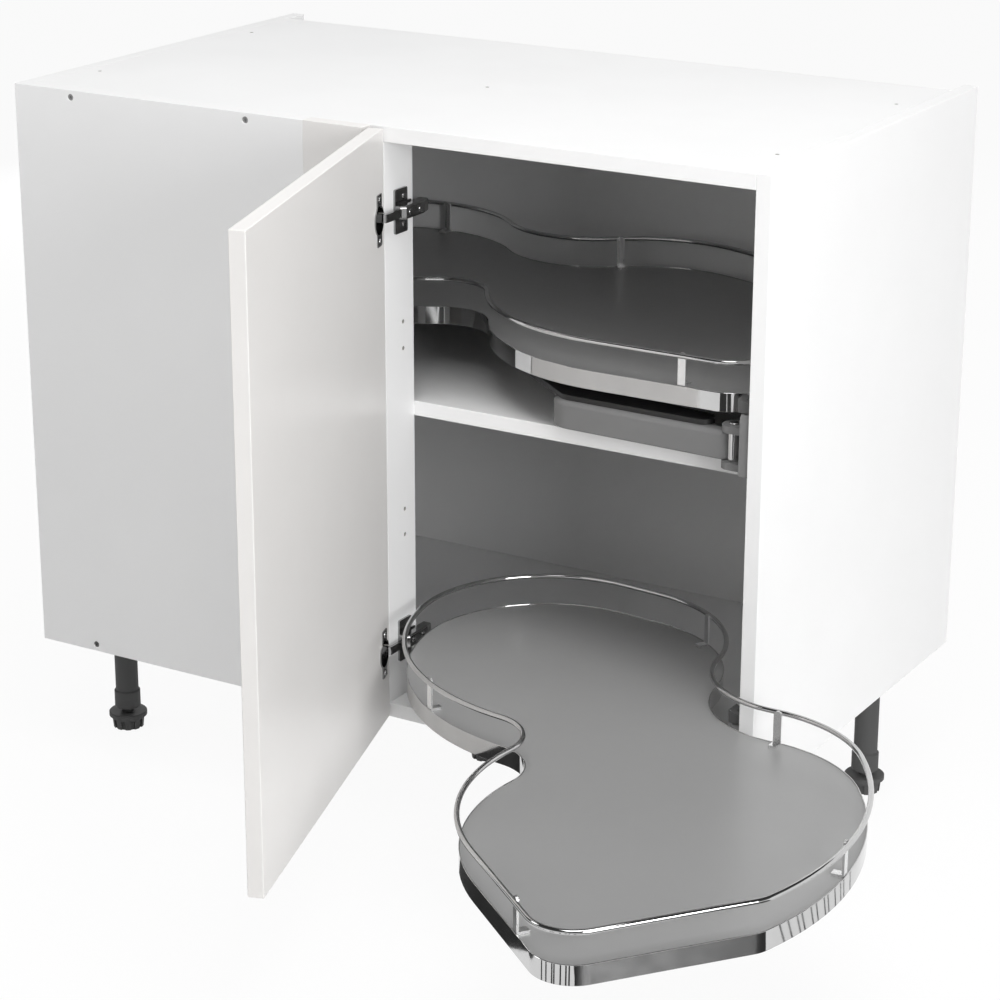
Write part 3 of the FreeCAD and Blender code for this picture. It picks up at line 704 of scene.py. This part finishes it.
@dataclass
class Legs:
    """Moulded legs with screwed feet."""

    spots: Tuple[str, ...] = ("front_left", "front_right", "rear_left", "rear_right", "middle")

    def build(self) -> None:
        """Dress the sockets, tubes and feet."""
        dress(("leg_sockets", "leg_tubes"), LEG_PLASTIC)
        dress([f"foot_{spot}" for spot in self.spots], LEG_PLASTIC)


@dataclass
class Door:
    """Lacquered door on two plated hinges."""

    pin: Pair = (0.012, -0.2687)
    opened: float = 72.5
    levels: Pair = (0.246, 0.772)
    cup_x: float = 0.0255
    cup_face: float = -0.2578
    cup_half_pitch: float = 0.024
    cup_spin: float = 37.0
    plate_face: float = 0.0205
    plate_row: float = -0.219
    plate_half_pitch: float = 0.016
    arm_face: float = 0.0325
    arm_spin: float = 23.0
    adjusters: Pair = (-0.2235, -0.2025)

    def build(self) -> None:
        """Model the door with the core and its painted shade in its holes, dress its hinges and
        model their screws.
        """
        Board("front_board", FRONT_BOARD, turn=-self.opened).build(("door_panel",))
        for level in ("upper", "lower"):
            dress([f"{level}_hinge_{part}" for part in ("cup", "pin", "arm", "plate")], NICKEL)
        ScrewSet("hinge_screws", "hinge_nickel", NICKEL, self.arm_screws()).build()
        ScrewSet("cup_screws", "hinge_nickel", NICKEL, self.cup_screws()).build()

    def arm_screws(self) -> List[Tuple[Screw, Matrix]]:
        """Place the screws of the mounting plates and the adjusting screws of the arms.

        Returns:
            Each screw with its placing.
        """
        screws = []
        for level in self.levels:
            for side in (-1, 1):
                spot = (self.plate_face, self.plate_row, level + side * self.plate_half_pitch)
                spin = self.arm_spin * len(screws)
                screws.append((PLATE_SCREW, stand(spot, Way.RIGHT, spin)))
            for y in self.adjusters:
                spin = self.arm_spin * len(screws)
                screws.append((ADJUSTER, stand((self.arm_face, y, level), Way.RIGHT, spin)))
        return screws

    def cup_screws(self) -> List[Tuple[Screw, Matrix]]:
        """Place the screws of the cups on the opened door.

        Returns:
            Each screw with its placing.
        """
        axis = Vector((*self.pin, 0.0))
        swing = Matrix.Translation(axis) @ turned(-self.opened) @ Matrix.Translation(-axis)
        screws = []
        for level in self.levels:
            for side in (-1, 1):
                spot = (self.cup_x, self.cup_face, level + side * self.cup_half_pitch)
                spin = self.cup_spin * len(screws)
                screws.append((CUP_SCREW, swing @ stand(spot, Way.BACK, spin)))
        return screws


def round_point(middle: Vector, radius: float, angle: float) -> Vector:
    """Return the point at a distance and a bearing in degrees from a middle."""
    turn = math.radians(angle)
    return middle + Vector((math.cos(turn), math.sin(turn), 0.0)) * radius


def bearing(start: Vector, end: Vector) -> float:
    """Return the bearing from one point to another, from 0 to 360 degrees."""
    return math.degrees(math.atan2(end.y - start.y, end.x - start.x)) % 360.0


def blend_middle(first: Vector, first_r: float, second: Vector, second_r: float) -> Vector:
    """Find the point at two distances from two middles.

    Args:
        first: First middle.
        first_r: Distance from it.
        second: Second middle.
        second_r: Distance from it.

    Returns:
        The point to the right of the way from the first to the second.
    """
    span = (second - first).length
    lean = math.acos((first_r**2 + span**2 - second_r**2) / (2.0 * first_r * span))
    return round_point(first, first_r, bearing(first, second) - math.degrees(lean))


@dataclass(frozen=True)
class Bend:
    """An arc of the tray's outline between two outward bearings; a waist's radius is negative."""

    middle: Vector
    radius: float
    start: float
    end: float

    def point(self, angle: float) -> Vector:
        """Return the arc's point at an outward bearing."""
        return round_point(self.middle, self.radius, angle)


@dataclass(frozen=True)
class TrayOutline:
    """Kidney outline of a tray about its turning point, as arcs with straight runs between."""

    left: float = 0.541
    right: float = 0.341
    front: float = 0.119
    back: float = 0.359
    corner_r: float = 0.045
    hip_drop: float = 0.265
    hip_r: float = 0.04
    back_r: float = 0.371
    shoulder_x: float = 0.044
    shoulder_drop: float = 0.172
    shoulder_r: float = 0.156
    back_waist_r: float = 0.116
    lobe_back_r: float = 0.169
    lobe_shift: Pair = (0.05, 0.018)
    lobe_r: float = 0.157
    lobe_end: float = 227.0
    lobe_front_r: float = 0.284
    front_waist_r: float = 0.061
    front_bend_x: float = 0.147
    front_bend_r: float = 0.242
    step: float = 3.0
    weld: float = 1e-5

    def bends(self) -> List[Bend]:
        """Lay out the arcs.

        Returns:
            The arcs anticlockwise from the front right corner.
        """
        corner = Vector((self.right - self.corner_r, self.corner_r - self.front, 0.0))
        hip = Vector((self.right - self.hip_r, self.back - self.hip_drop, 0.0))
        shoulder = Vector((self.shoulder_x, self.back - self.shoulder_drop, 0.0))
        back = blend_middle(shoulder, self.back_r - self.shoulder_r, hip, self.back_r - self.hip_r)
        shift = Vector((*self.lobe_shift, 0.0))
        lobe = Vector((self.lobe_r - self.left, self.back - self.lobe_back_r - shift.y, 0.0))
        rear = lobe + shift
        fore = round_point(lobe, self.lobe_r - self.lobe_front_r, self.lobe_end)
        bend = Vector((self.front_bend_x, self.front_bend_r - self.front, 0.0))
        back_waist = blend_middle(
            shoulder,
            self.shoulder_r + self.back_waist_r,
            rear,
            self.lobe_back_r + self.back_waist_r,
        )
        front_waist = blend_middle(
            fore,
            self.lobe_front_r + self.front_waist_r,
            bend,
            self.front_bend_r + self.front_waist_r,
        )
        lean = math.degrees(math.acos((self.lobe_back_r - self.lobe_r) / shift.length))
        lobe_start = bearing(rear, lobe) - lean
        hip_end = bearing(back, hip)
        shoulder_start = bearing(back, shoulder)
        shoulder_end = bearing(shoulder, back_waist)
        rear_start = bearing(rear, back_waist)
        fore_end = bearing(fore, front_waist)
        bend_start = bearing(bend, front_waist)
        return [
            Bend(corner, self.corner_r, -90.0, 0.0),
            Bend(hip, self.hip_r, 0.0, hip_end),
            Bend(back, self.back_r, hip_end, shoulder_start),
            Bend(shoulder, self.shoulder_r, shoulder_start, shoulder_end),
            Bend(back_waist, -self.back_waist_r, shoulder_end, rear_start),
            Bend(rear, self.lobe_back_r, rear_start, lobe_start),
            Bend(lobe, self.lobe_r, lobe_start, self.lobe_end),
            Bend(fore, self.lobe_front_r, self.lobe_end, fore_end),
            Bend(front_waist, -self.front_waist_r, fore_end, bend_start),
            Bend(bend, self.front_bend_r, bend_start, 270.0),
        ]

    def sweep(self, shape: bmesh.types.BMesh) -> None:
        """Carry a closed profile round the outline.

        Args:
            shape: The profile at the origin, outwards along -y and upright along z; it becomes
                the closed ring.
        """
        bends = self.bends()
        bmesh.ops.translate(shape, vec=bends[0].point(bends[0].start), verts=shape.verts[:])
        ring = shape.edges[:]
        for bend, after in zip(bends, bends[1:] + bends[:1]):
            angle = bend.end - bend.start
            corners = dict.fromkeys(vert for edge in ring for vert in edge.verts)
            last = bmesh.ops.spin(
                shape,
                geom=ring + list(corners),
                cent=bend.middle,
                axis=(0.0, 0.0, 1.0),
                angle=math.radians(angle),
                steps=max(2, round(abs(angle) / self.step)),
            )["geom_last"]
            ring = edges_of(last)
            run = after.point(after.start) - bend.point(bend.end)
            if run.length > self.weld:
                made = bmesh.ops.extrude_edge_only(shape, edges=ring)["geom"]
                bmesh.ops.translate(shape, vec=run, verts=verts_of(made))
                ring = [edge for edge in edges_of(made) if edge.is_boundary]
        bmesh.ops.remove_doubles(shape, verts=shape.verts[:], dist=self.weld)
        bmesh.ops.recalc_face_normals(shape, faces=shape.faces[:])


@dataclass
class TrayLevel:
    """One swing-out tray with its arm, bracket, rail and stop."""

    level: str
    floor: float
    middle: Pair
    turn: float
    screw_rows: Pair
    outline: TrayOutline = TrayOutline()
    lift: float = 0.082
    band_t: float = 0.0012
    band_height: float = 0.022
    band_lip: float = 0.001
    band_rim: float = 0.0005
    band_rim_segments: int = 3
    band_crease: float = 12.0
    rail_r: float = 0.003
    rail_rise: float = 0.036
    rail_out: float = 0.0017
    rail_sides: int = 20
    rail_crease: float = 45.0
    screw_face: float = 0.47
    screw_column: float = -0.205
    screw_spin: float = 40.0

    def build(self) -> None:
        """Dress the tray and its arm, bend its rail and band and model the bracket's screws."""
        dress(self.named("tray_deck"), DECK)
        dress(self.named("pivot_pin", "arm_sleeve"), CHROME)
        dress(self.named("rail_stanchions"), SATIN)
        dress(self.named("bracket", "swing_arm"), GREY_METAL)
        dress(self.named("carrier_plate", "tray_flange"), DARK_METAL)
        dress(self.named("tray_stop"), STOP_PLASTIC)
        self.bend_rail()
        self.bend_band()
        screws = []
        for z in self.screw_rows:
            spot = (self.screw_face, self.screw_column, z)
            spin = self.screw_spin * len(screws)
            screws.append((BRACKET_SCREW, stand(spot, Way.LEFT, spin)))
        ScrewSet(f"{self.level}_bracket_screws", "screw_steel", ZINC, screws).build()

    def bend_rail(self) -> None:
        """Bend the round rail to the tray's outline."""
        shape = bmesh.new()
        bmesh.ops.create_circle(
            shape, cap_ends=False, radius=self.rail_r, segments=self.rail_sides
        )
        bmesh.ops.transform(shape, matrix=turned(90.0, "Y"), verts=shape.verts[:])
        middle = Vector((0.0, -self.rail_out, self.lift + self.rail_rise))
        bmesh.ops.translate(shape, vec=middle, verts=shape.verts[:])
        self.outline.sweep(shape)
        self.finish_ring(shape, "tray_rail", self.rail_crease)

    def bend_band(self) -> None:
        """Bend the flat edge band with its rounded rims to the tray's outline."""
        shape = bmesh.new()
        bmesh.ops.create_circle(shape, cap_ends=False, radius=math.sqrt(0.5), segments=4)
        square = turned(90.0, "Y") @ turned(45.0)
        bmesh.ops.transform(shape, matrix=square, verts=shape.verts[:])
        section = Vector((1.0, self.band_t, self.band_height))
        bmesh.ops.scale(shape, vec=section, verts=shape.verts[:])
        bmesh.ops.bevel(
            shape,
            geom=shape.verts[:],
            offset=self.band_rim,
            offset_type="OFFSET",
            affect="VERTICES",
            segments=self.band_rim_segments,
            profile=0.5,
            material=-1,
        )
        top = self.lift + self.band_lip
        middle = Vector((0.0, self.band_t / 2.0, top - self.band_height / 2.0))
        bmesh.ops.translate(shape, vec=middle, verts=shape.verts[:])
        self.outline.sweep(shape)
        self.finish_ring(shape, "tray_band", self.band_crease)

    def finish_ring(self, shape: bmesh.types.BMesh, part: str, crease: float) -> None:
        """Shade a swept ring, put it in its place and hand it in for its node.

        Args:
            shape: The ring about the tray's turning point.
            part: Node's name without its level.
            crease: Angle in degrees past which an edge stays sharp.
        """
        for face in shape.faces:
            face.smooth = True
        for edge in shape.edges:
            edge.smooth = edge.calc_face_angle() < math.radians(crease)
        place = Matrix.Translation((*self.middle, self.floor)) @ turned(self.turn)
        bmesh.ops.transform(shape, matrix=place, verts=shape.verts[:])
        add_piece(shape, f"{self.level}_{part}", CHROME)

    def named(self, *parts: str) -> List[str]:
        """Return the names of this level's nodes."""
        return [f"{self.level}_{part}" for part in parts]


LOWER_TRAY = TrayLevel(
    "lower",
    floor=0.173,
    middle=(0.39542, -0.56666),
    turn=-38.4,
    screw_rows=(0.184, 0.236),
)
UPPER_TRAY = TrayLevel(
    "upper",
    floor=0.537,
    middle=(0.127, -0.107),
    turn=0.0,
    screw_rows=(0.548, 0.6),
)


@dataclass(frozen=True)
class Card:
    """A dark flat card that only polished metal sees; its turn is about z, in degrees."""

    name: str
    middle: Point
    sides: Pair
    turn: float = 0.0


@dataclass(frozen=True)
class Fan:
    """Narrow dark strips just off the floor, like the rays of a fan; bearings in degrees."""

    name: str
    hub: Pair
    turns: Tuple[float, ...]
    width: float
    reach: float = 0.6
    length: float = 0.7
    height: float = 0.003

    def strips(self) -> List[Card]:
        """Lay out the strips.

        Returns:
            One card for each bearing, numbered in order.
        """
        made = []
        for number, turn in enumerate(self.turns):
            ray = turned(turn) @ Vector((self.reach, 0.0, 0.0))
            middle = (self.hub[0] + ray.x, self.hub[1] + ray.y, self.height)
            made.append(Card(f"{self.name}_{number}", middle, (self.length, self.width), turn))
        return made


@dataclass(frozen=True)
class Lamp:
    """A soft square lamp that faces its aim; power in watts."""

    name: str
    spot: Point
    aim: Point
    size: float
    power: float

    def hang(self) -> None:
        """Hang the lamp in the scene."""
        data = bpy.data.lights.new(self.name, "AREA")
        data.size = self.size
        data.energy = self.power
        lamp = bpy.data.objects.new(self.name, data)
        lamp.location = self.spot
        facing = Vector(self.aim) - Vector(self.spot)
        lamp.rotation_euler = facing.to_track_quat("-Z", "Y").to_euler()
        bpy.context.scene.collection.objects.link(lamp)


@dataclass
class Studio:
    """Floor, reflection cards, light and camera; angles in degrees, lens in millimetres."""

    eye: Point = (1.7516, -2.9073, 1.5317)
    azimuth: float = 30.796
    elevation: float = 19.174
    roll: float = 0.117
    lens: float = 102.85
    sensor: float = 36.0
    floor_half: float = 30.0
    floor_tone: float = 0.9
    floor_roughness: float = 0.9
    glow_share: float = 0.93
    world_level: float = 0.3
    cards: Tuple[Card, ...] = (
        Card("card_right", (1.9, -1.15, 0.003), (2.1, 1.3)),
        Card("card_left", (-1.05, -1.0, 0.003), (2.3, 1.3)),
        Card("card_above", (0.0, -8.0, 3.6), (40.0, 24.0)),
        Card("card_slot_left", (0.64, -2.1, 0.003), (0.66, 0.5)),
        Card("card_slot_right", (1.21, -2.1, 0.003), (0.36, 0.5)),
    )
    fans: Tuple[Fan, ...] = (
        Fan(
            "strip_front",
            hub=(0.56, -0.85),
            turns=(-140.0, -126.0, -109.0, -103.0, -86.0, -72.0, -64.0, -49.0),
            width=0.03,
        ),
        Fan(
            "strip_right",
            hub=(0.72, -0.42),
            turns=(3.0, 9.0, 16.0, 20.0, 28.0, 33.0, 41.0, 45.0, 53.0, 60.0, 64.0, 73.0),
            width=0.007,
        ),
    )
    lamps: Tuple[Lamp, ...] = (
        Lamp("key", (0.9, -0.9, 3.5), (0.0, 0.0, 0.5), size=2.2, power=75.0),
        Lamp("right", (2.85, -1.8, 1.2), (0.1, -0.2, 0.5), size=1.3, power=51.0),
        Lamp("left", (-1.5, -1.4, 1.9), (-0.45, -0.27, 0.75), size=0.7, power=7.0),
        Lamp("back", (-2.3, 2.9, 0.45), (0.0, 0.3, 0.45), size=0.8, power=34.0),
    )

    def build(self) -> None:
        """Set up everything around the cabinet."""
        bpy.context.scene.view_settings.view_transform = "Standard"
        self.lay_floor()
        for card in self.cards:
            self.lay_card(card)
        for fan in self.fans:
            for strip in fan.strips():
                self.lay_card(strip)
        self.light()
        self.place_camera()

    def sheet(
        self, name: str, middle: Point, sides: Pair, turn: float = 0.0
    ) -> bpy.types.Object:
        """Lay a flat rectangle that is no part of the cabinet.

        Args:
            name: Name of the piece.
            middle: Its middle.
            sides: Its lengths along x and y before it is turned.
            turn: Its turn about z in degrees.

        Returns:
            The new object.
        """
        shape = bmesh.new()
        bmesh.ops.create_grid(shape, x_segments=1, y_segments=1, size=0.5)
        bmesh.ops.scale(shape, vec=Vector((*sides, 1.0)), verts=shape.verts[:])
        place = Matrix.Translation(middle) @ turned(turn)
        bmesh.ops.transform(shape, matrix=place, verts=shape.verts[:])
        mesh = bpy.data.meshes.new(name)
        shape.to_mesh(mesh)
        shape.free()
        piece = bpy.data.objects.new(name, mesh)
        bpy.context.scene.collection.objects.link(piece)
        return piece

    def lay_floor(self) -> None:
        """Lay a pale floor that keeps the shadow and looks white."""
        side = 2 * self.floor_half
        floor = self.sheet("floor", (0.0, 0.0, 0.0), (side, side))
        floor.data.materials.append(self.floor_material())

    def lay_card(self, card: Card) -> None:
        """Lay a dark card and hide it from all but mirror rays.

        Args:
            card: The card.
        """
        piece = self.sheet(card.name, card.middle, card.sides, card.turn)
        piece.visible_camera = False
        piece.visible_diffuse = False
        piece.visible_transmission = False
        piece.visible_shadow = False
        piece.data.materials.append(DARK_METAL.material())

    def seen(self, tree: bpy.types.NodeTree) -> bpy.types.NodeSocket:
        """Add the test for rays that see the background: from the camera, a mirror or glass.

        Args:
            tree: Node tree of a floor or world.

        Returns:
            A socket that is 1 for such a ray and 0 for light.
        """
        path = tree.nodes.new("ShaderNodeLightPath")
        total = path.outputs["Is Camera Ray"]
        for kind in ("Is Glossy Ray", "Is Transmission Ray"):
            add = tree.nodes.new("ShaderNodeMath")
            add.operation = "MAXIMUM"
            tree.links.new(total, add.inputs[0])
            tree.links.new(path.outputs[kind], add.inputs[1])
            total = add.outputs["Value"]
        return total

    def floor_material(self) -> bpy.types.Material:
        """Build the pale floor's material.

        Returns:
            A matt pale surface that glows white for the rays that see the background.
        """
        made = bpy.data.materials.new("pale_floor")
        made.use_nodes = True
        tree = made.node_tree
        shader = tree.nodes["Principled BSDF"]
        shader.inputs["Base Color"].default_value = (*grey(self.floor_tone), 1.0)
        shader.inputs["Roughness"].default_value = self.floor_roughness
        glow = tree.nodes.new("ShaderNodeEmission")
        glow.inputs["Color"].default_value = WHITE
        share = tree.nodes.new("ShaderNodeMath")
        share.operation = "MULTIPLY"
        share.inputs[1].default_value = self.glow_share
        mix = tree.nodes.new("ShaderNodeMixShader")
        tree.links.new(self.seen(tree), share.inputs[0])
        tree.links.new(share.outputs["Value"], mix.inputs["Fac"])
        tree.links.new(shader.outputs["BSDF"], mix.inputs[1])
        tree.links.new(glow.outputs["Emission"], mix.inputs[2])
        tree.links.new(mix.outputs["Shader"], tree.nodes["Material Output"].inputs["Surface"])
        return made

    def light(self) -> None:
        """Set an even world and hang the lamps."""
        world = bpy.data.worlds.new("studio")
        bpy.context.scene.world = world
        world.use_nodes = True
        tree = world.node_tree
        back = tree.nodes["Background"]
        back.inputs["Color"].default_value = WHITE
        span = tree.nodes.new("ShaderNodeMapRange")
        span.inputs["To Min"].default_value = self.world_level
        span.inputs["To Max"].default_value = 1.0
        tree.links.new(self.seen(tree), span.inputs["Value"])
        tree.links.new(span.outputs["Result"], back.inputs["Strength"])
        for lamp in self.lamps:
            lamp.hang()

    def place_camera(self) -> None:
        """Put the camera in front of the cabinet, to its right and above it."""
        turn = math.radians(self.azimuth)
        lift = math.radians(self.elevation)
        tilt = math.radians(self.roll)
        level = math.cos(lift)
        back = Vector((math.sin(turn) * level, -math.cos(turn) * level, math.sin(lift)))
        right = Vector((math.cos(turn), math.sin(turn), 0.0))
        up = back.cross(right)
        across = right * math.cos(tilt) + up * math.sin(tilt)
        upward = up * math.cos(tilt) - right * math.sin(tilt)
        data = bpy.data.cameras.new("camera")
        data.sensor_width = self.sensor
        data.lens = self.lens
        camera = bpy.data.objects.new("camera", data)
        axes = Matrix((across, upward, back)).transposed().to_4x4()
        camera.matrix_world = Matrix.Translation(self.eye) @ axes
        bpy.context.scene.collection.objects.link(camera)
        bpy.context.scene.camera = camera


def main() -> None:
    """Dress the cabinet and set the studio."""
    logging.basicConfig(level=logging.INFO, format="%(message)s")
    Carcass().build()
    Legs().build()
    Door().build()
    LOWER_TRAY.build()
    UPPER_TRAY.build()
    Studio().build()


if __name__ == "__main__":
    main()
